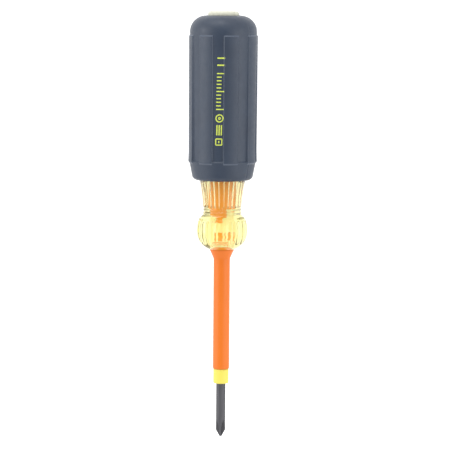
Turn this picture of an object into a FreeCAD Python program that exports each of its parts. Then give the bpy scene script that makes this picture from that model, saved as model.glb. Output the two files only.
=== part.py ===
import FreeCAD, Part
import math
import os

# Insulated screwdriver with a size 0 cross tip, lying on its grip.
# Lengths are in millimetres. The tool's axis runs along X with the tip towards +X.
# A station is a distance from the tip, measured back along the tool's axis.

# Steel bar
blade_radius = 1.5
tip_flat_radius = 0.35
tip_cone_end = 2.15
flute_web_radius = 0.26
flute_slope = math.radians(7.0)
flute_angle = math.radians(92.0)
flute_straight_end = 2.7
flute_wheel_radius = 8.0
flute_depth_reach = 3.0
flute_count = 4
flute_turn = 45.0
wing_start = 94.0
wing_end = 102.0
wing_span = 4.6
wing_thickness = 1.6
wing_turn = 45.0
groove_start = 17.25
groove_end = 18.75
groove_radius = 1.25
bar_end = 110.0
bar_chamfer = 0.4

# Insulation layers
yellow_start = groove_start
yellow_radius = 2.45
yellow_edge_radius = 0.35
yellow_hidden_radius = 2.2
yellow_end = 86.0
orange_start = 21.85
orange_radius = 2.62
orange_end = 90.0
flare_start = 57.45
flare_end = 60.55
flare_radius = 4.0

# Handle core
nose_radius = 4.6
nose_arc_station = 61.9
nose_arc_radius = 6.4
ball_station = 66.9
ball_radius = 8.0
ball_rear_station = 68.8
ball_rear_radius = 7.8
shoulder_station = 70.35
shoulder_radius = 7.28
shoulder_arc_station = 70.95
shoulder_arc_radius = 6.65
neck_front_station = 71.6
neck_radius = 6.1
splines_start = 73.85
waist_station = 78.65
waist_radius = 6.58
core_radius = 7.25
splines_end = 124.0
core_rear_station = 129.0
butt_radius = 4.9
butt_end = 135.8
butt_chamfer = 0.2
facet_count = 18
facet_turn = 5.0
facet_depth = 0.15
facet_start = 61.9
facet_end = 70.0
facet_end_radius = 7.36
facet_start_radius = 6.3
facet_half_width = 3.0
spline_count = 28
spline_depth = 0.35
spline_share = 0.6

# Cushion grip
rim_station = 82.55
rim_radius = 8.2
rim_round_station = 82.9
rim_round_radius = 8.95
collar_front_station = 83.75
collar_front_radius = 9.52
collar_rear_station = 88.5
collar_rear_radius = 10.48
valley_front_station = 88.95
valley_front_radius = 10.22
valley_rear_radius = 10.6
dome_station = 129.35
dome_radius = 5.1
grip_top_station = dome_station + dome_radius
rib_count = 8
rib_width = math.radians(27.0)
rib_front_station = 87.6
rib_front_crown_station = 88.5
rib_front_radius = 10.87
rib_waist_station = 91.5
rib_waist_radius = 10.77
rib_rear_crown_station = 127.85
rib_rear_radius = 10.87
rib_rear_station = 128.45

# Place of the tool: it lies on the edges of two ribs, so one valley faces straight down and another
# straight up. The origin is under the middle of its length.
valley_half_width = math.pi / rib_count - rib_width / 2
axis_height = rib_rear_radius * math.cos(valley_half_width)
place = FreeCAD.Vector(butt_end / 2, 0, axis_height)

CENTRE = FreeCAD.Vector(0, 0, 0)
TOOL_AXIS = FreeCAD.Vector(1, 0, 0)
CROSSWISE = FreeCAD.Vector(0, 1, 0)


def at(station, radius):
    """Point of an outline above the tool's axis, with the tip at x = 0."""
    return FreeCAD.Vector(-station, 0, radius)


def straight(*points):
    """Edges that join the points in turn."""
    return [Part.LineSegment(a, b).toShape() for a, b in zip(points, points[1:])]


def bow(start, middle, end):
    """One circular edge through three points, as a list."""
    return [Part.Arc(start, middle, end).toShape()]


def corner(start, end, centre, radius):
    """Quarter round of an outline, about a centre in the plane of the outline."""
    middle = (start + end) * 0.5 - centre
    return bow(start, centre + middle.normalize() * radius, end)


def turned(edges, sweep=360.0):
    """Solid made by turning a closed outline about the tool's axis."""
    return Part.Face(Part.Wire(edges)).revolve(CENTRE, TOOL_AXIS, sweep)


def around(shape, index, count):
    """Copy of a shape, turned about the tool's axis by a number of equal steps."""
    copy = shape.copy()
    copy.rotate(CENTRE, TOOL_AXIS, 360.0 * index / count)
    return copy


def make_flute_cutter():
    """Path of a grinding wheel with a V rim: a straight run that rises from the tip, then the wheel's round."""
    spread = flute_depth_reach * math.tan(flute_angle / 2)
    left = FreeCAD.Vector(0, -spread, flute_depth_reach)
    right = FreeCAD.Vector(0, spread, flute_depth_reach)
    section = Part.Face(Part.Wire(straight(CENTRE, left, right, CENTRE)))
    run = section.extrude(FreeCAD.Vector(flute_straight_end * 2, 0, 0))
    wheel = section.revolve(FreeCAD.Vector(0, 0, flute_wheel_radius), CROSSWISE, 360)
    cutter = run.fuse(wheel)
    cutter.rotate(CENTRE, CROSSWISE, math.degrees(flute_slope))
    root_radius = flute_web_radius + flute_straight_end * math.tan(flute_slope)
    cutter.translate(at(flute_straight_end, root_radius))
    return cutter


def make_wings():
    """Flat ears pressed out of the bar on two sides, with sloping ends."""
    half_span = wing_span / 2
    slope = half_span - blade_radius
    front = FreeCAD.Vector(-wing_start, 0, -wing_thickness / 2)
    length = wing_end - wing_start
    corners = [(0, -blade_radius), (slope, -half_span), (length - slope, -half_span), (length, -blade_radius),
               (length, blade_radius), (length - slope, half_span), (slope, half_span), (0, blade_radius)]
    points = [front + FreeCAD.Vector(-back, side, 0) for back, side in corners]
    outline = Part.Wire(straight(*points, points[0]))
    wings = Part.Face(outline).extrude(FreeCAD.Vector(0, 0, wing_thickness))
    wings.rotate(CENTRE, TOOL_AXIS, -wing_turn)
    return wings


def make_steel_shank():
    """Round bar with a ground cone and four flutes at the tip, a groove that holds the front of the yellow
    layer, and wings near its rear end."""
    outline = straight(at(0, 0), at(0, tip_flat_radius), at(tip_cone_end, blade_radius),
                       at(groove_start, blade_radius), at(groove_start, groove_radius),
                       at(groove_end, groove_radius), at(groove_end, blade_radius),
                       at(bar_end - bar_chamfer, blade_radius), at(bar_end, blade_radius - bar_chamfer),
                       at(bar_end, 0), at(0, 0))
    bar = turned(outline).fuse(make_wings())
    cutter = make_flute_cutter()
    cutter.rotate(CENTRE, TOOL_AXIS, -flute_turn)
    return bar.cut([around(cutter, index, flute_count) for index in range(flute_count)])


def make_inner_insulation():
    """Yellow layer: it fills the bar's groove, and is full thickness where it shows, thinner under the orange."""
    edge = yellow_edge_radius
    round_start = at(yellow_start, yellow_radius - edge)
    round_end = at(yellow_start + edge, yellow_radius)
    outline = straight(at(yellow_end, blade_radius), at(groove_end, blade_radius), at(groove_end, groove_radius),
                       at(yellow_start, groove_radius), round_start)
    outline += corner(round_start, round_end, at(yellow_start + edge, yellow_radius - edge), edge)
    outline += straight(round_end, at(orange_start, yellow_radius), at(orange_start, yellow_hidden_radius),
                        at(yellow_end, yellow_hidden_radius), at(yellow_end, blade_radius))
    return turned(outline)


def make_outer_insulation():
    """Orange layer: a tube with a rounded front edge, a flare against the handle's nose and a closed rear end."""
    edge = orange_radius - yellow_hidden_radius
    round_start = at(orange_start, yellow_hidden_radius)
    round_end = at(orange_start + edge, orange_radius)
    outline = straight(at(orange_end, blade_radius), at(yellow_end, blade_radius),
                       at(yellow_end, yellow_hidden_radius), round_start)
    outline += corner(round_start, round_end, at(orange_start + edge, yellow_hidden_radius), edge)
    outline += straight(round_end, at(flare_start, orange_radius), at(flare_end, flare_radius),
                        at(flare_end, orange_radius), at(orange_end, orange_radius), at(orange_end, blade_radius))
    return turned(outline)


def make_facet_cutter():
    """Block that shaves one slightly bowed facet along the top of the ball."""
    start = at(facet_start, facet_start_radius)
    end = at(facet_end, facet_end_radius)
    middle = at(ball_station, ball_radius - facet_depth)
    above = 2 * ball_radius
    outline = bow(start, middle, end)
    outline += straight(end, at(facet_end, above), at(facet_start, above), start)
    block = Part.Face(Part.Wire(outline)).extrude(CROSSWISE * (2 * facet_half_width))
    block.translate(CROSSWISE * -facet_half_width)
    block.rotate(CENTRE, TOOL_AXIS, -facet_turn)
    return block


def make_ball():
    """Nose, faceted ball and plain front of the neck."""
    nose = at(flare_end, nose_radius)
    top = at(ball_station, ball_radius)
    shoulder = at(shoulder_station, shoulder_radius)
    neck = at(neck_front_station, neck_radius)
    outline = straight(at(flare_end, 0), nose)
    outline += bow(nose, at(nose_arc_station, nose_arc_radius), top)
    outline += bow(top, at(ball_rear_station, ball_rear_radius), shoulder)
    outline += bow(shoulder, at(shoulder_arc_station, shoulder_arc_radius), neck)
    outline += straight(neck, at(splines_start, neck_radius), at(splines_start, 0), at(flare_end, 0))
    cutter = make_facet_cutter()
    return turned(outline).cut([around(cutter, index, facet_count) for index in range(facet_count)])


def splined_outline(inset):
    """Outline of the splined stretch, closed along the axis: the neck's hollow curve, then a straight body."""
    front = at(splines_start, neck_radius - inset)
    body_front = at(rim_station, core_radius - inset)
    outline = straight(at(splines_start, 0), front)
    outline += bow(front, at(waist_station, waist_radius - inset), body_front)
    outline += straight(body_front, at(splines_end, core_radius - inset), at(splines_end, 0),
                        at(splines_start, 0))
    return outline


def make_splined_stretch():
    """Neck and body of the core, with fine ridges all round."""
    ridge_width = 360.0 * spline_share / spline_count
    ridge = turned(splined_outline(0), ridge_width)
    ridge.rotate(CENTRE, TOOL_AXIS, -ridge_width / 2)
    ridges = [around(ridge, index, spline_count) for index in range(spline_count)]
    return turned(splined_outline(spline_depth)).fuse(ridges)


def make_core_rear():
    """Rear end of the core: a shoulder that tapers to the butt disc."""
    root_radius = core_radius - spline_depth
    outline = straight(at(splines_end, 0), at(splines_end, root_radius), at(core_rear_station, butt_radius),
                       at(butt_end - butt_chamfer, butt_radius), at(butt_end, butt_radius - butt_chamfer),
                       at(butt_end, 0), at(splines_end, 0))
    return turned(outline)


def make_solid_core():
    """The handle core before the room for the shank is taken out of it."""
    return make_ball().fuse([make_splined_stretch(), make_core_rear()]).removeSplitter()


def make_grip_sleeve():
    """Outer form of the grip between its ribs: rounded rim, tapered collar, straight body and domed end."""
    rim = at(rim_station, rim_radius)
    collar_front = at(collar_front_station, collar_front_radius)
    dome_front = at(dome_station, valley_rear_radius)
    dome_rear = at(grip_top_station, valley_rear_radius - dome_radius)
    outline = straight(at(rim_station, 0), rim)
    outline += bow(rim, at(rim_round_station, rim_round_radius), collar_front)
    outline += straight(collar_front, at(collar_rear_station, collar_rear_radius),
                        at(valley_front_station, valley_front_radius), dome_front)
    outline += corner(dome_front, dome_rear, at(dome_station, valley_rear_radius - dome_radius), dome_radius)
    outline += straight(dome_rear, at(grip_top_station, 0), at(rim_station, 0))
    return turned(outline)


def make_rib():
    """One raised rib of the grip, centred half a step from straight up."""
    root_radius = core_radius + 1
    outline = straight(at(rib_front_station, root_radius), at(rib_front_station, valley_front_radius),
                       at(rib_front_crown_station, rib_front_radius), at(rib_waist_station, rib_waist_radius),
                       at(rib_rear_crown_station, rib_rear_radius), at(rib_rear_station, valley_rear_radius),
                       at(rib_rear_station, root_radius), at(rib_front_station, root_radius))
    rib = turned(outline, math.degrees(rib_width))
    rib.rotate(CENTRE, TOOL_AXIS, math.degrees(valley_half_width))
    return rib


def make_cushion_grip(solid_core):
    """Soft sleeve with raised ribs, whose bore fits the core and its splines."""
    rib = make_rib()
    ribs = [around(rib, index, rib_count) for index in range(rib_count)]
    return make_grip_sleeve().fuse(ribs).cut(solid_core)


def main():
    """Make the five pieces and write each to its own file."""
    steel_shank = make_steel_shank()
    inner_insulation = make_inner_insulation()
    outer_insulation = make_outer_insulation()
    solid_core = make_solid_core()
    pieces = {
        "steel_shank": steel_shank,
        "inner_insulation": inner_insulation,
        "outer_insulation": outer_insulation,
        "handle_core": solid_core.cut([steel_shank, inner_insulation, outer_insulation]),
        "cushion_grip": make_cushion_grip(solid_core),
    }
    os.makedirs("parts", exist_ok=True)
    for name, piece in pieces.items():
        piece.translate(place)
        piece.exportStep("parts/" + name + ".step")
        print(name, piece.isValid(), len(piece.Solids), round(piece.Volume, 1))


main()
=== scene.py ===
import math

import bmesh
import bpy
from mathutils import Matrix, Vector


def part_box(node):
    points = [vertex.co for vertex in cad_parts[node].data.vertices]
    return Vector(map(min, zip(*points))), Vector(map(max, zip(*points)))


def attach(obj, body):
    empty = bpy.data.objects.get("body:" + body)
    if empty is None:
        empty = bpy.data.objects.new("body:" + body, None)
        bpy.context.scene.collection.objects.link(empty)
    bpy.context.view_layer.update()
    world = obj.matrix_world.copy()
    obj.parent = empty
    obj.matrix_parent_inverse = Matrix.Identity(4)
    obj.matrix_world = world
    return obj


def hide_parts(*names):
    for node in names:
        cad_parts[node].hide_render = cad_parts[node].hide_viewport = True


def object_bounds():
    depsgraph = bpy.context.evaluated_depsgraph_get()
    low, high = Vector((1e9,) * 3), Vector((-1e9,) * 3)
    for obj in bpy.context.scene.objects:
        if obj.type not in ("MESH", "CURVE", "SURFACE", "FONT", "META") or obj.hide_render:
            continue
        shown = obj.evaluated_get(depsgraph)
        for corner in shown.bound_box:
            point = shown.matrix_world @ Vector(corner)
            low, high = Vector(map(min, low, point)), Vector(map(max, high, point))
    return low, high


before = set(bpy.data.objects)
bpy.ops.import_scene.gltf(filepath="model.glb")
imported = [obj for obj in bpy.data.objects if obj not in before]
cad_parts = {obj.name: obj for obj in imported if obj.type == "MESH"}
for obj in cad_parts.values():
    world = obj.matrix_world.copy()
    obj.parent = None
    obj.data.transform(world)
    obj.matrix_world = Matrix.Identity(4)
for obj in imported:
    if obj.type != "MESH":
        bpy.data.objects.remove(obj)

# The tool lies along X with its tip towards +X. A station is a distance from the tip, in millimetres, and an
# angle runs round the tool's axis from straight up towards +Y.
MM = 0.001
cad_low, cad_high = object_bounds()
shank_low, shank_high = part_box("steel_shank")
TIP_X = shank_high.x
AXIS_Z = (shank_low.z + shank_high.z) / 2


def station_of(x):
    """Station of a place along X, in millimetres."""
    return (TIP_X - x) / MM


def radius_of(node):
    """Half the height of a node round the tool's axis, in millimetres."""
    low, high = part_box(node)
    return (high.z - low.z) / 2 / MM


# Stations and radii that the frame gives
BUTT_END = station_of(cad_low.x)
YELLOW_FRONT = station_of(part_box("inner_insulation")[1].x)
ORANGE_FRONT = station_of(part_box("outer_insulation")[1].x)
NOSE = station_of(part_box("handle_core")[1].x)
GRIP_RIM = station_of(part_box("cushion_grip")[1].x)
GRIP_TOP = station_of(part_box("cushion_grip")[0].x)
YELLOW_RADIUS = radius_of("inner_insulation")
FLARE_RADIUS = radius_of("outer_insulation")
YELLOW_END = station_of(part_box("inner_insulation")[0].x)
ORANGE_END = station_of(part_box("outer_insulation")[0].x)


def place(station, radius, angle):
    """Point in the frame from a station, a radius and an angle."""
    return Vector((TIP_X - station * MM, radius * MM * math.sin(angle), AXIS_Z + radius * MM * math.cos(angle)))


def mesh_object(name, points, faces):
    """Smooth mesh piece that rides on the one body."""
    mesh = bpy.data.meshes.new(name)
    mesh.from_pydata(points, [], faces)
    shell = bmesh.new()
    shell.from_mesh(mesh)
    if shell.calc_volume(signed=True) < 0:
        bmesh.ops.reverse_faces(shell, faces=shell.faces)
    shell.to_mesh(mesh)
    shell.free()
    mesh.shade_smooth()
    piece = bpy.data.objects.new(name, mesh)
    bpy.context.scene.collection.objects.link(piece)
    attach(piece, "root")
    return piece


def turned(name, outline, columns, shape=None, warp=None):
    """Closed mesh turned about the tool's axis. An outline is points (station, radius) that come back to the
    first one, or that start and end on the axis. A shape moves each point by its angle, and a warp crowds the
    columns of points where the shape is steep."""
    turns = [2 * math.pi * column / columns for column in range(columns)]
    turns = [warp(turn) for turn in turns] if warp else turns
    points, faces, rows = [], [], []
    for station, radius in outline:
        if radius < 1e-6:
            rows.append([len(points)] * columns)
            points.append(place(station, 0, 0))
            continue
        rows.append(range(len(points), len(points) + columns))
        for angle in turns:
            moved = shape(station, radius, angle) if shape else (station, radius)
            points.append(place(*moved, angle))
    closed = outline[0][1] > 1e-6
    pairs = list(zip(rows, rows[1:])) + ([(rows[-1], rows[0])] if closed else [])
    for lower, upper in pairs:
        for column in range(columns):
            after = (column + 1) % columns
            corners = [lower[column], lower[after], upper[after], upper[column]]
            faces.append([c for i, c in enumerate(corners) if c not in corners[:i]])
    return mesh_object(name, points, faces)


def line(start, end, count):
    """Points from start up to but not including end."""
    return [(start[0] + (end[0] - start[0]) * i / count, start[1] + (end[1] - start[1]) * i / count)
            for i in range(count)]


def arc(start, middle, end, count):
    """Points on the circle through three points, from start up to but not including end."""
    (ax, ay), (bx, by), (cx, cy) = start, middle, end
    d = 2 * (ax * (by - cy) + bx * (cy - ay) + cx * (ay - by))
    a2, b2, c2 = ax * ax + ay * ay, bx * bx + by * by, cx * cx + cy * cy
    ux = (a2 * (by - cy) + b2 * (cy - ay) + c2 * (ay - by)) / d
    uy = (a2 * (cx - bx) + b2 * (ax - cx) + c2 * (bx - ax)) / d
    radius = math.hypot(ax - ux, ay - uy)
    first, last = math.atan2(ay - uy, ax - ux), math.atan2(cy - uy, cx - ux)
    via = math.atan2(by - uy, bx - ux)
    turn = (last - first) % (2 * math.pi)
    if (via - first) % (2 * math.pi) > turn:
        turn -= 2 * math.pi
    return [(ux + radius * math.cos(first + turn * i / count), uy + radius * math.sin(first + turn * i / count))
            for i in range(count)]


def smooth(low, high, value):
    """0 below low, 1 above high, with an even bend between them."""
    t = min(max((value - low) / (high - low), 0.0), 1.0)
    return t * t * (3 - 2 * t)


# ---------------------------------------------------------------- materials

def new_material(name):
    """Empty node material with its Principled shader."""
    material = bpy.data.materials.new(name)
    material.use_nodes = True
    return material, material.node_tree, material.node_tree.nodes["Principled BSDF"]


def srgb(red, green, blue):
    """Linear colour of an 8-bit screen colour."""
    def linear(value):
        share = value / 255
        return share / 12.92 if share <= 0.04045 else ((share + 0.055) / 1.055) ** 2.4
    return (linear(red), linear(green), linear(blue), 1.0)


def noise(tree, scale, detail=3.0, stretch=(1, 1, 1)):
    """Noise in the object's own space; the scale is in cycles per metre."""
    coords = tree.nodes.new("ShaderNodeTexCoord")
    mapping = tree.nodes.new("ShaderNodeMapping")
    mapping.inputs["Scale"].default_value = stretch
    texture = tree.nodes.new("ShaderNodeTexNoise")
    texture.inputs["Scale"].default_value = scale
    texture.inputs["Detail"].default_value = detail
    texture.inputs["Roughness"].default_value = 0.5
    tree.links.new(coords.outputs["Object"], mapping.inputs["Vector"])
    tree.links.new(mapping.outputs["Vector"], texture.inputs["Vector"])
    return texture.outputs["Fac"]


def between(tree, value, low, high):
    """Spreads a noise value, which lies mostly from 0.3 to 0.7, between two others."""
    node = tree.nodes.new("ShaderNodeMapRange")
    node.inputs["From Min"].default_value = 0.3
    node.inputs["From Max"].default_value = 0.7
    node.inputs["To Min"].default_value = low
    node.inputs["To Max"].default_value = high
    tree.links.new(value, node.inputs["Value"])
    return node.outputs["Result"]


def mixed(tree, factor, first, second):
    """Colour between two others; each may be a colour or a socket."""
    node = tree.nodes.new("ShaderNodeMix")
    node.data_type = "RGBA"
    tree.links.new(factor, node.inputs["Factor"])
    for socket, colour in ((node.inputs[6], first), (node.inputs[7], second)):
        if isinstance(colour, tuple):
            socket.default_value = colour
        else:
            tree.links.new(colour, socket)
    return node.outputs[2]


def bump(tree, shader, height, strength, distance):
    """Bump from a height socket; the distance is in metres."""
    node = tree.nodes.new("ShaderNodeBump")
    node.inputs["Strength"].default_value = strength
    node.inputs["Distance"].default_value = distance
    tree.links.new(height, node.inputs["Height"])
    tree.links.new(node.outputs["Normal"], shader.inputs["Normal"])


def attribute(tree, name):
    """A number stored on the mesh."""
    node = tree.nodes.new("ShaderNodeAttribute")
    node.attribute_name = name
    return node.outputs["Fac"]


def grip_material():
    """Blue-grey moulded rubber: satin and finely grained, with a painted highlight that makes it paler on the
    rib ends and sides.
    """
    material, tree, shader = new_material("grip_rubber")
    dark, light = (0.0125, 0.0208, 0.038, 1), (0.0165, 0.0265, 0.046, 1)
    base = mixed(tree, between(tree, noise(tree, 160, 4), 0, 1), dark, light)
    # Painted highlight: the edge number on the mesh mixes a paler blue-grey into the rubber along the rib ends
    # and sides.
    edge_highlight = mixed(tree, attribute(tree, "edge"), base, srgb(62, 70, 84))
    shader.inputs["Specular IOR Level"].default_value = 0.37
    tree.links.new(edge_highlight, shader.inputs["Base Color"])
    tree.links.new(between(tree, noise(tree, 700, 3), 0.4, 0.5), shader.inputs["Roughness"])
    bump(tree, shader, noise(tree, 5200, 4), 0.25, 0.00004)
    return material


def amber_material():
    """Clear amber plastic that darkens with depth."""
    material, tree, shader = new_material("amber_core")
    shader.inputs["Base Color"].default_value = (1.0, 1.0, 1.0, 1.0)
    shader.inputs["Transmission Weight"].default_value = 1.0
    shader.inputs["IOR"].default_value = 1.45
    tree.links.new(between(tree, noise(tree, 900, 3), 0.03, 0.08), shader.inputs["Roughness"])
    bump(tree, shader, noise(tree, 500, 3), 0.15, 0.00004)
    absorb = tree.nodes.new("ShaderNodeVolumeAbsorption")
    absorb.inputs["Color"].default_value = (0.78, 0.735, 0.11, 1.0)
    absorb.inputs["Density"].default_value = 90.0
    tree.links.new(absorb.outputs["Volume"], tree.nodes["Material Output"].inputs["Volume"])
    return material


def frosted_material(name, deeper, paler):
    """Fine matt surface of the core: its ground butt, and its bore where it stands off the orange layer."""
    material, tree, shader = new_material(name)
    base = mixed(tree, between(tree, noise(tree, 900, 4, (0.5, 1, 1)), 0, 1), deeper, paler)
    tree.links.new(base, shader.inputs["Base Color"])
    shader.inputs["Roughness"].default_value = 0.6
    return material


def insulation_material(name, colour, deeper):
    """Moulded insulation with faint mottling and a soft shine."""
    material, tree, shader = new_material(name)
    shader.inputs["Specular IOR Level"].default_value = 0.25
    base = mixed(tree, between(tree, noise(tree, 260, 4, (0.35, 1, 1)), 0, 1), deeper, colour)
    tree.links.new(base, shader.inputs["Base Color"])
    tree.links.new(between(tree, noise(tree, 900, 2), 0.34, 0.44), shader.inputs["Roughness"])
    bump(tree, shader, noise(tree, 1500, 3, (0.4, 1, 1)), 0.2, 0.00003)
    return material


def steel_material():
    """Dark oxide steel with fine lines along the bar."""
    material, tree, shader = new_material("dark_steel")
    lines = noise(tree, 3500, 4, (0.04, 1, 1))
    base = mixed(tree, between(tree, lines, 0, 1), (0.046, 0.046, 0.053, 1), (0.078, 0.077, 0.084, 1))
    tree.links.new(base, shader.inputs["Base Color"])
    shader.inputs["Metallic"].default_value = 0.5
    tree.links.new(between(tree, lines, 0.5, 0.65), shader.inputs["Roughness"])
    bump(tree, shader, lines, 0.2, 0.00002)
    return material


def print_material():
    """Pad-printed yellow-green ink, slightly uneven."""
    material, tree, shader = new_material("print_ink")
    base = mixed(tree, between(tree, noise(tree, 2600, 3), 0, 1), srgb(152, 165, 52), srgb(178, 189, 74))
    tree.links.new(base, shader.inputs["Base Color"])
    shader.inputs["Roughness"].default_value = 0.5
    return material


# ---------------------------------------------------------------- grip

GRIP_COLUMNS = 576
RIB_COUNT = 8
RIB_HALF = math.radians(13.5)
RIB_FRONT, RIB_REAR = 87.75, 128.55
RIB_EDGE, RIB_FRONT_RISE, RIB_REAR_FALL = 0.3, 0.75, 0.6
RIB_CROWN = ((87.0, 10.87), (88.5, 10.88), (91.5, 10.77), (127.9, 10.87), (130, 10.87))
RIB_MIDDLE = 100.0
COLLAR_FRONT, COLLAR_BEND, COLLAR_REAR = (83.75, 9.63), (87.5, 10.35), (88.55, 10.57)
VALLEY_FRONT, VALLEY_WAIST, VALLEY_REAR = (88.95, 10.22), (92, 10.25), (127.5, 10.585)
DOME, VALLEY_REAR_RADIUS, DOME_RADIUS = 129.35, 10.6, 5.1
BORE, BORE_REAR = 7.29, 4.95
PARTING_FRONT, PARTING_REAR, PARTING_ANGLE, PARTING_DEPTH = 83.6, 131.0, math.radians(59.5), 0.1
# Share of the painted highlight that runs along the rib sides, against the rib ends
SIDE_HIGHLIGHT_SHARE = 0.3


def along(points, station):
    """Height of a line of points at a station."""
    for (first, low), (last, high) in zip(points, points[1:]):
        if station <= last:
            return low + (high - low) * max(station - first, 0.0) / (last - first)
    return points[-1][1]


def rib_share(station, angle):
    """How far a point stands on a rib: 1 on its crown, 0 in a valley."""
    if not RIB_FRONT < station < RIB_REAR:
        return 0.0
    pitch = 2 * math.pi / RIB_COUNT
    off = abs((angle % pitch) - pitch / 2)
    side = VALLEY_REAR_RADIUS * (RIB_HALF - off)
    return (smooth(0, RIB_EDGE, side) * smooth(0, RIB_FRONT_RISE, station - RIB_FRONT)
            * smooth(0, RIB_REAR_FALL, RIB_REAR - station))


def parting_line(station, radius, angle):
    """Depth of the fine mould line that runs down both sides of the grip, in millimetres."""
    if radius < 9 or not PARTING_FRONT < station < PARTING_REAR:
        return 0.0
    off = abs(math.remainder(angle - PARTING_ANGLE, math.pi)) * radius
    return PARTING_DEPTH * (1 - smooth(0.06, 0.3, off))


def grip_shape(station, radius, angle):
    """Raises the ribs on the outer face of the grip and sinks its mould line."""
    share = rib_share(station, angle) if radius > 10 else 0.0
    raised = radius + max(along(RIB_CROWN, station) - radius, 0.0) * share
    return station, raised - parting_line(station, raised, angle)


def make_grip():
    """Sleeve with ribs, a rounded rim, a tapered collar, a domed end and a bore."""
    rim_inner, rim_outer = (GRIP_RIM, BORE + 0.3), (GRIP_RIM, 8.3)
    ring = VALLEY_REAR_RADIUS - DOME_RADIUS
    half = DOME_RADIUS * math.sqrt(0.5)
    dome_front, dome_rear = (DOME, VALLEY_REAR_RADIUS), (DOME + DOME_RADIUS, ring)
    outline = arc((GRIP_RIM + 0.3, BORE), (GRIP_RIM + 0.09, BORE + 0.09), rim_inner, 4)
    outline += line(rim_inner, rim_outer, 3)
    outline += arc(rim_outer, (82.88, 9.05), COLLAR_FRONT, 12)
    outline += line(COLLAR_FRONT, COLLAR_BEND, 10)
    outline += line(COLLAR_BEND, COLLAR_REAR, 10)
    outline += line(COLLAR_REAR, VALLEY_FRONT, 4)
    outline += line(VALLEY_FRONT, VALLEY_WAIST, 14)
    outline += line(VALLEY_WAIST, VALLEY_REAR, 40)
    outline += line(VALLEY_REAR, dome_front, 16)
    outline += arc(dome_front, (DOME + half, ring + half), dome_rear, 28)
    outline += arc(dome_rear, (dome_rear[0] - 0.08, BORE_REAR + 0.06), (dome_rear[0] - 0.3, BORE_REAR), 5)
    outline += line((dome_rear[0] - 0.3, BORE_REAR), (129, BORE_REAR), 3)
    outline += line((129, BORE_REAR), (124.2, BORE), 3)
    outline += line((124.2, BORE), (GRIP_RIM + 0.3, BORE), 12)
    piece = turned("grip_sleeve", outline, GRIP_COLUMNS, grip_shape)
    # Painted highlight: the edge number is high where the ribs rise from the valley at their ends, and lower
    # along their sides; the rubber is painted paler there.
    edge = piece.data.attributes.new("edge", "FLOAT", "POINT")
    for vertex, value in zip(piece.data.vertices, edge.data):
        turn = math.atan2(vertex.co.y, vertex.co.z - AXIS_Z)
        share, side = rib_share(station_of(vertex.co.x), turn), rib_share(RIB_MIDDLE, turn)
        end = share / side if side else 0.0
        value.value = 4 * (end * (1 - end) * side + SIDE_HIGHLIGHT_SHARE * side * (1 - side) * end)
    piece.data.materials.append(grip_material())
    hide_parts("cushion_grip")
    return piece


INK_HEIGHT, INK_SKIN, INK_STEP = 0.012, 0.02, 0.3
VALLEY_FLOOR = ((88.9, 10.22), (92, 10.25), (127.5, 10.585), (129.35, 10.6))


def mark(strokes, width, station, angle, points, faces):
    """Adds flat printed strokes to a mesh. A stroke is a list of (along, across) in millimetres from the
    mark's middle, which lies at a station and at the angle that a function gives for that station."""
    for stroke in strokes:
        for start, end in zip(stroke, stroke[1:]):
            run = Vector((end[0] - start[0], end[1] - start[1]))
            side = Vector((-run.y, run.x)).normalized() * width / 2
            pieces = max(int(run.length / INK_STEP), 1)
            first = len(points)
            for step in range(pieces + 1):
                here = Vector(start) + run * step / pieces
                for height in (-INK_SKIN, INK_SKIN):
                    for sign in (-1, 1):
                        spot = here + side * sign
                        at_station = station - spot.x
                        floor = along(VALLEY_FLOOR, at_station)
                        turn = angle(at_station) + spot.y / floor
                        lift = grip_shape(at_station, floor, turn)[1]
                        points.append(place(at_station, lift + INK_HEIGHT + height, turn))
            faces.append((first, first + 1, first + 3, first + 2))
            last = first + 4 * pieces
            faces.append((last, last + 2, last + 3, last + 1))
            for step in range(pieces):
                a, b = first + 4 * step, first + 4 * step + 4
                faces += [(a, b, b + 1, a + 1), (a + 2, a + 3, b + 3, b + 2), (a, a + 2, b + 2, b),
                          (a + 1, b + 1, b + 3, a + 3)]


def ring_stroke(radius, corners=20):
    """Closed stroke round a circle, or round a polygon when it has few corners."""
    turns = [2 * math.pi * (i + 0.5) / corners for i in range(corners + 1)]
    return [(radius * math.cos(turn), radius * math.sin(turn)) for turn in turns]


FINE_STROKE, STROKE, LADDER_STROKE, BOLD_STROKE = 0.34, 0.38, 0.36, 0.44
LADDER_START, LADDER_STEP, LADDER_RUNGS = 105.4, 1.12, 11


def make_print():
    """Plain printed marks along the upper valley of the grip: a square, three bars, a ring, a graduated
    ladder and two bars. The row of marks leans a little across the valley."""
    points, faces = [], []

    def lean(station):
        return math.radians(1.5 + (station - 94) * 0.13)

    def add(strokes, width, station):
        mark(strokes, width, station, lean, points, faces)

    bar = [(0, -1.2), (0, 1.2)]
    add([ring_stroke(1.35, 4), [(-0.35, 0), (0.35, 0)]], FINE_STROKE, 95.2)
    add([[(-1.6, across), (1.6, across)] for across in (0.7, 0, -0.7)], STROKE, 98.9)
    add([ring_stroke(1.12), ring_stroke(0.3)], LADDER_STROKE, 102.6)
    for index in range(LADDER_RUNGS):
        reach = 1.2 if index % 5 == 0 else 0.75
        add([[(0, -1.2), (0, 2 * reach - 1.2)]], LADDER_STROKE, LADDER_START + index * LADDER_STEP)
    add([bar], BOLD_STROKE, 119.2)
    add([bar], BOLD_STROKE, 121.4)
    piece = mesh_object("print_marks", points, faces)
    piece.data.shade_flat()
    piece.data.materials.append(print_material())
    return piece


# ---------------------------------------------------------------- handle core

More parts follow.
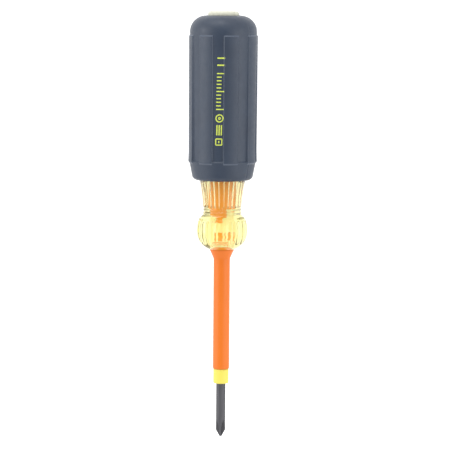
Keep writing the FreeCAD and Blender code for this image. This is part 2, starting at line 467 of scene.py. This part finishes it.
FLUTE_COUNT = 18
FLUTE_PHASE = math.radians(5.0)
FLUTE_HOLLOW = 2.4
BALL_FRONT, BALL_REAR, FLUTE_FRONT_RUN, FLUTE_REAR_RUN = 61.9, 70.0, 0.8, 0.6
SPLINES_START, SPLINES_END, SPLINE_COUNT, SPLINE_DEPTH = 73.85, 125.0, 28, 0.5
GROOVE_FLOOR, GROOVE_EDGE = 0.03, 0.16
SPLINE_CROWDING, SPLINE_COLUMNS = 0.62, 24
RING_DEPTH, RING_WAVES, RING_STEPS = 0.24, 2.25, 48
NECK_FRONT, NECK_RADIUS, CORE_RADIUS, BUTT_RADIUS = 71.6, 6.1, 7.24, 4.9
CORE_REAR = 129.0
BUTT_ROUND = 0.9
BUTT_SHOWS = GRIP_TOP - 0.05
ORANGE_RADIUS = 2.62
# Radius of the bore where it touches the orange layer and where it stands off, and the swelling of the bonded
# layer behind the ball
TOUCH, GAP = 2.61, 2.67
BOND_START, BOND_RUN, BOND_RISE = 73.3, 0.6, 0.34
BORE_FINE_END = 75.5


def core_shape(station, radius, angle):
    """Hollows the ball's facets and cuts the grooves between the splines of the neck and body, no two of
    them quite alike."""
    if radius < 4.6:
        return station, radius
    if BALL_FRONT < station < BALL_REAR:
        pitch = 2 * math.pi / FLUTE_COUNT
        off = (angle - FLUTE_PHASE + pitch / 2) % pitch - pitch / 2
        flat = math.cos(pitch / 2) / math.cos(off)
        ends = smooth(0, FLUTE_FRONT_RUN, station - BALL_FRONT) * smooth(0, FLUTE_REAR_RUN, BALL_REAR - station)
        return station, radius * (1 + (flat - 1) * FLUTE_HOLLOW * ends)
    if SPLINES_START < station < SPLINES_END:
        pitch = 2 * math.pi / SPLINE_COUNT
        off = abs((angle + pitch / 2) % pitch - pitch / 2) / pitch
        index = round(angle / pitch) % SPLINE_COUNT
        edge = GROOVE_EDGE * (1 + 0.25 * math.sin(index * 2.4))
        groove = (1 - smooth(GROOVE_FLOOR, edge, off)) * (0.93 + 0.07 * math.sin(index * 3.7))
        return station, radius - SPLINE_DEPTH * groove * smooth(SPLINES_START, SPLINES_START + 0.3, station)
    return station, radius


def spline_warp(turn):
    """Crowds columns into the grooves of the splines, which are centred on multiples of their pitch."""
    return turn - SPLINE_CROWDING / SPLINE_COUNT * math.sin(turn * SPLINE_COUNT)


# Where the core's bore clings to the orange layer: station range and angle range of a patch, in millimetres
# and degrees. It clings all round in the nose and behind the ball, and in a few patches inside the ball, where
# its frosted wall shows between them.
PATCHES = ((60.0, 62.4, -200, 200), (62.8, 63.05, -60, 50), (63.4, 63.65, -60, 40), (63.95, 65.95, -23, 17),
           (64.1, 65.95, 37, 72), (63.4, 64.1, 74, 110), (68.8, 69.9, -24, 12), (69.8, 73.3, -110, 34),
           (73.3, 95.0, -200, 200))


def cling(station, angle):
    """Whether the bore touches the orange layer here. Waves roughen the outlines of the patches."""
    turn = math.degrees(math.remainder(angle, 2 * math.pi))
    turn += 3 * math.sin(station * 5.3) + 1.5 * math.sin(station * 13)
    station += 0.07 * math.sin(math.radians(turn * 5) + 1) + 0.05 * math.sin(math.radians(turn * 17))
    return any(first < station < last and low < turn < high for first, last, low, high in PATCHES)


def bore_shape(station, radius, angle):
    """Core outside, and a bore that touches or stands off the orange layer inside the ball."""
    if radius > 2.9 or radius < 2:
        return core_shape(station, radius, angle)
    if cling(station, angle):
        return station, TOUCH + BOND_RISE * smooth(0, BOND_RUN, station - BOND_START)
    return station, GAP


def make_core():
    """Clear core: nose, faceted ball, ringed and splined neck, body and butt, with a bore for the shank."""
    nose, top, shoulder = (NOSE, 4.6), (66.9, 8.0), (70.35, 7.28)
    neck, splines, rim = (NECK_FRONT, NECK_RADIUS), (SPLINES_START, NECK_RADIUS), (GRIP_RIM, CORE_RADIUS)
    outline = line((NOSE, ORANGE_RADIUS + 0.5), nose, 3)
    outline += arc(nose, (61.9, 6.4), top, 44)
    outline += arc(top, (68.8, 7.8), shoulder, 30)
    outline += arc(shoulder, (70.95, 6.65), neck, 10)
    for step, (station, radius) in enumerate(line(neck, splines, RING_STEPS)):
        wave = abs(math.sin(math.pi * RING_WAVES * step / RING_STEPS))
        outline.append((station, radius + RING_DEPTH * (wave - 1)))
    outline += arc(splines, (78.65, 6.58), rim, 34)
    outline += line(rim, (124, CORE_RADIUS), 12)
    outline += line((124, CORE_RADIUS), (CORE_REAR, BUTT_RADIUS), 4)
    outline += line((CORE_REAR, BUTT_RADIUS), (BUTT_SHOWS, BUTT_RADIUS), 3)
    outline += line((BUTT_SHOWS, BUTT_RADIUS), (BUTT_END - BUTT_ROUND, BUTT_RADIUS), 2)
    inset = BUTT_ROUND * (1 - math.sqrt(0.5))
    outline += arc((BUTT_END - BUTT_ROUND, BUTT_RADIUS), (BUTT_END - inset, BUTT_RADIUS - inset),
                   (BUTT_END, BUTT_RADIUS - BUTT_ROUND), 12)
    outline += line((BUTT_END, BUTT_RADIUS - BUTT_ROUND), (BUTT_END, 0), 3) + [(BUTT_END, 0)]
    bore = line((NOSE, TOUCH), (BORE_FINE_END, TOUCH), 150)
    bore += line((BORE_FINE_END, TOUCH), (ORANGE_END, TOUCH), 12)
    bore += [(ORANGE_END, TOUCH), (ORANGE_END, 1.49), (110, 1.49), (110, 0)]
    piece = turned("core_body", outline[::-1] + bore, SPLINE_COUNT * SPLINE_COLUMNS, bore_shape,
                   spline_warp)
    piece.data.materials.append(amber_material())
    piece.data.materials.append(frosted_material("bore_frosted", srgb(238, 222, 160), srgb(255, 246, 205)))
    piece.data.materials.append(frosted_material("butt_frosted", srgb(160, 160, 144), srgb(178, 178, 164)))
    for face in piece.data.polygons:
        spot = face.center
        station, turn = station_of(spot.x), math.atan2(spot.y, spot.z - AXIS_Z)
        radius = math.hypot(spot.y, spot.z - AXIS_Z) / MM
        if TOUCH + 0.035 < radius < 3 and station < BORE_FINE_END and not cling(station, turn):
            face.material_index = 1
        if station > BUTT_SHOWS:
            face.material_index = 2
    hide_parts("handle_core")
    return piece


# ---------------------------------------------------------------- insulation

TUBE_COLUMNS = 128
FLARE_START = 57.45
BAR_RADIUS, HIDDEN_RADIUS, FIT = 1.5, 2.2, 0.005


def make_orange_layer():
    """Orange tube with a rounded front edge and a flare against the nose."""
    radius = ORANGE_RADIUS
    bore, rear = HIDDEN_RADIUS + FIT, YELLOW_END + FIT
    outline = line((ORANGE_END, BAR_RADIUS + FIT), (rear, BAR_RADIUS + FIT), 2)
    outline += line((rear, BAR_RADIUS + FIT), (rear, bore), 2)
    outline += line((rear, bore), (ORANGE_FRONT, bore), 20)
    outline += arc((ORANGE_FRONT, bore), (ORANGE_FRONT + 0.12, radius - 0.12), (ORANGE_FRONT + 0.42, radius), 8)
    outline += line((ORANGE_FRONT + 0.42, radius), (FLARE_START - 0.4, radius), 40)
    outline += arc((FLARE_START - 0.4, radius), (FLARE_START, radius + 0.05),
                   (FLARE_START + 0.4, radius + 0.19), 6)
    outline += line((FLARE_START + 0.4, radius + 0.19), (NOSE - 0.12, FLARE_RADIUS - 0.02), 8)
    outline += line((NOSE - 0.12, FLARE_RADIUS - 0.02), (NOSE, FLARE_RADIUS - 0.15), 1)
    outline += line((NOSE, FLARE_RADIUS - 0.15), (NOSE, radius), 2)
    outline += line((NOSE, radius), (NOSE + 0.1, radius), 1)
    bonded = radius + BOND_RISE
    outline += line((NOSE + 0.1, radius), (BOND_START, radius), 16)
    outline += line((BOND_START, radius), (BOND_START + BOND_RUN, bonded), 4)
    outline += line((BOND_START + BOND_RUN, bonded), (ORANGE_END, bonded), 14)
    outline += line((ORANGE_END, bonded), (ORANGE_END, BAR_RADIUS + FIT), 2)
    piece = turned("orange_layer", outline, TUBE_COLUMNS)
    piece.data.materials.append(insulation_material("orange_insulation", (0.53, 0.121, 0.009, 1),
                                                    (0.5, 0.112, 0.007, 1)))
    # Painted light: the orange seen inside the clear core is a copy about twice as bright as the flare's,
    # making up for the light the core keeps from it.
    piece.data.materials.append(insulation_material("orange_brightened_in_core", (0.98, 0.385, 0.05, 1),
                                                    (0.93, 0.33, 0.036, 1)))
    for face in piece.data.polygons:
        if station_of(face.center.x) > NOSE + 0.05:
            face.material_index = 1
    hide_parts("outer_insulation")
    return piece


def make_yellow_layer():
    """Yellow tube whose front band shows, with a rounded front edge; the rest runs on under the orange."""
    radius, edge = YELLOW_RADIUS, 0.35
    outline = line((YELLOW_END, BAR_RADIUS), (YELLOW_FRONT, BAR_RADIUS), 20)
    outline += line((YELLOW_FRONT, BAR_RADIUS), (YELLOW_FRONT, radius - edge), 3)
    outline += arc((YELLOW_FRONT, radius - edge), (YELLOW_FRONT + 0.1, radius - 0.1),
                   (YELLOW_FRONT + edge, radius), 8)
    outline += line((YELLOW_FRONT + edge, radius), (ORANGE_FRONT, radius), 8)
    outline += line((ORANGE_FRONT, radius), (ORANGE_FRONT, HIDDEN_RADIUS), 2)
    outline += line((ORANGE_FRONT, HIDDEN_RADIUS), (YELLOW_END, HIDDEN_RADIUS), 20)
    outline += line((YELLOW_END, HIDDEN_RADIUS), (YELLOW_END, BAR_RADIUS), 2)
    piece = turned("yellow_layer", outline, TUBE_COLUMNS)
    piece.data.materials.append(insulation_material("yellow_insulation", (0.55, 0.485, 0.082, 1),
                                                    (0.53, 0.465, 0.074, 1)))
    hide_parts("inner_insulation")
    return piece


def dress_shank():
    """The bar keeps its own mesh and gets the dark steel."""
    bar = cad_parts["steel_shank"]
    steel = steel_material()
    for index in range(len(bar.material_slots)):
        bar.material_slots[index].material = steel


# ---------------------------------------------------------------- stage

def make_floor():
    """Wide pale floor under the tool."""
    half = 3.0
    corners = [(-half, -half, 0), (half, -half, 0), (half, half, 0), (-half, half, 0)]
    mesh = bpy.data.meshes.new("floor")
    mesh.from_pydata(corners, [], [(0, 1, 2, 3)])
    floor = bpy.data.objects.new("floor", mesh)
    bpy.context.scene.collection.objects.link(floor)
    material, tree, shader = new_material("floor_white")
    shader.inputs["Base Color"].default_value = (0.5, 0.5, 0.5, 1)
    shader.inputs["Roughness"].default_value = 0.9
    shader.inputs["Specular IOR Level"].default_value = 0.0
    shader.inputs["Emission Color"].default_value = (1, 1, 1, 1)
    shader.inputs["Emission Strength"].default_value = 0.75
    mesh.materials.append(material)


def make_world():
    """Soft sky, darker overhead and brighter towards the horizon."""
    world = bpy.data.worlds.new("studio")
    bpy.context.scene.world = world
    world.use_nodes = True
    tree = world.node_tree
    background = tree.nodes["Background"]
    coords = tree.nodes.new("ShaderNodeTexCoord")
    split = tree.nodes.new("ShaderNodeSeparateXYZ")
    ramp = tree.nodes.new("ShaderNodeValToRGB")
    tree.links.new(coords.outputs["Generated"], split.inputs["Vector"])
    tree.links.new(split.outputs["Z"], ramp.inputs["Fac"])
    tree.links.new(ramp.outputs["Color"], background.inputs["Color"])
    ramp.color_ramp.elements[0].position = 0.6
    ramp.color_ramp.elements[0].color = (1.0, 1.0, 1.0, 1)
    ramp.color_ramp.elements[1].position = 0.96
    ramp.color_ramp.elements[1].color = (0.32, 0.32, 0.32, 1)
    background.inputs["Strength"].default_value = 2.0


def area_light(name, position, target, size, power):
    """Soft square lamp aimed at a point."""
    data = bpy.data.lights.new(name, "AREA")
    data.shape = "SQUARE"
    data.size = size
    data.energy = power
    lamp = bpy.data.objects.new(name, data)
    lamp.location = position
    lamp.rotation_euler = (Vector(target) - Vector(position)).to_track_quat("-Z", "Y").to_euler()
    bpy.context.scene.collection.objects.link(lamp)


def make_lights():
    """Large soft lamps: one on each side of the tool, and a low one beyond its butt."""
    target = (0, 0, AXIS_Z)
    area_light("lamp_left", (-0.15, -0.75, 0.45), target, 0.6, 3.2)
    area_light("lamp_butt", (-0.85, -0.12, 0.3), target, 0.5, 2.5)
    area_light("lamp_right", (0.0, 0.75, 0.4), target, 0.6, 2.0)


def make_camera():
    """Camera above the tool with the butt towards the top of the picture, a little towards the butt and to
    one side of straight above."""
    distance = 0.775
    lean, turn, roll = math.radians(6.0), math.radians(8.4), math.radians(-0.44)
    target = Vector(((cad_low.x + cad_high.x) / 2 - 0.000175, 0.00095, AXIS_Z))
    back = Vector((-math.sin(lean), math.cos(lean) * math.sin(turn), math.cos(lean) * math.cos(turn)))
    data = bpy.data.cameras.new("camera")
    data.sensor_width = 36.0
    data.lens = 195.0
    camera = bpy.data.objects.new("camera", data)
    camera.location = target + back * distance
    up = Vector((-1, 0, 0))
    forward = -back
    right = forward.cross(up).normalized()
    up = right.cross(forward).normalized()
    right, up = (right * math.cos(roll) - up * math.sin(roll)), (up * math.cos(roll) + right * math.sin(roll))
    camera.rotation_euler = Matrix((right, up, back)).transposed().to_euler()
    data.clip_start, data.clip_end = 0.01, 20.0
    bpy.context.scene.collection.objects.link(camera)
    bpy.context.scene.camera = camera


make_camera()
make_world()
make_lights()
make_floor()
make_grip()
make_print()
make_core()
make_orange_layer()
make_yellow_layer()
dress_shank()
bpy.context.scene.view_settings.view_transform = "Standard"
